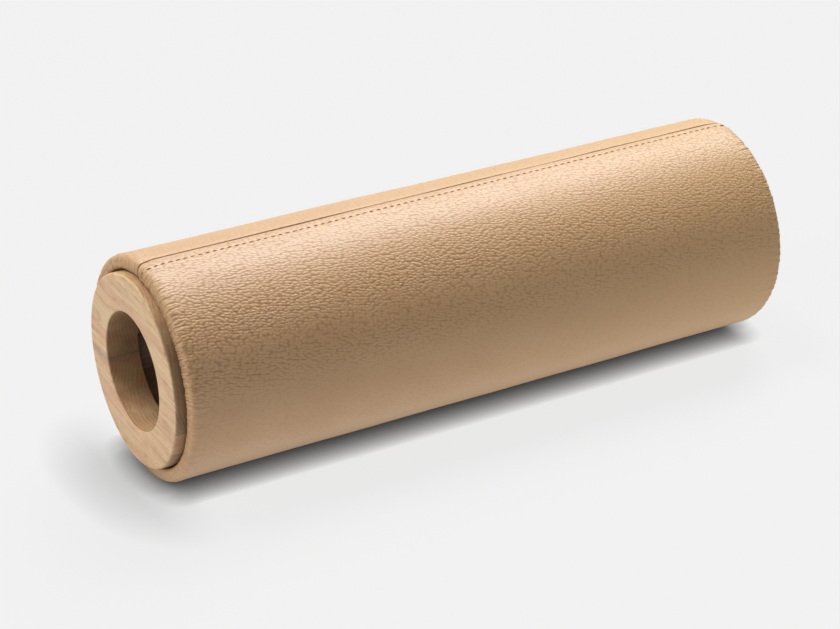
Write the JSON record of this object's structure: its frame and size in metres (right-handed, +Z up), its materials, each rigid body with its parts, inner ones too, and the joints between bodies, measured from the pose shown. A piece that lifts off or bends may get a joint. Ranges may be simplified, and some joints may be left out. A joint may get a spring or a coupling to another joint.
{
  "type": "massage roller",
  "caption": "Padded massage roller: leather cover over a foam sleeve on a wooden stave core, with a turned wooden ring at each end and an open bore right through.",
  "frame": {"origin": "bottom centre: on the surface that the roller lies on, under the middle of its axis", "axes": "+X along the roller's axis, towards its right end ring; +Z up; the cover's seam runs along the top"},
  "size_m": [0.45, 0.144, 0.1443],
  "materials": {
    "ring_wood": "oiled",
    "core_wood": "planed",
    "dowel_wood": "plain",
    "foam": "matte foam",
    "leather": "pebbled grain"
  },
  "bodies": {
    "root": {"left_end_ring": "ring_wood", "right_end_ring": "ring_wood", "core_stave_01": "core_wood", "core_stave_02": "core_wood", "core_stave_03": "core_wood", "core_stave_04": "core_wood", "core_stave_05": "core_wood", "core_stave_06": "core_wood", "core_stave_07": "core_wood", "core_stave_08": "core_wood", "core_stave_09": "core_wood", "core_stave_10": "core_wood", "core_stave_11": "core_wood", "core_stave_12": "core_wood", "left_dowel_1": "dowel_wood", "left_dowel_2": "dowel_wood", "left_dowel_3": "dowel_wood", "left_dowel_4": "dowel_wood", "right_dowel_1": "dowel_wood", "right_dowel_2": "dowel_wood", "right_dowel_3": "dowel_wood", "right_dowel_4": "dowel_wood", "foam_sleeve": "foam", "leather_cover": "leather"}
  },
  "joints": []
}
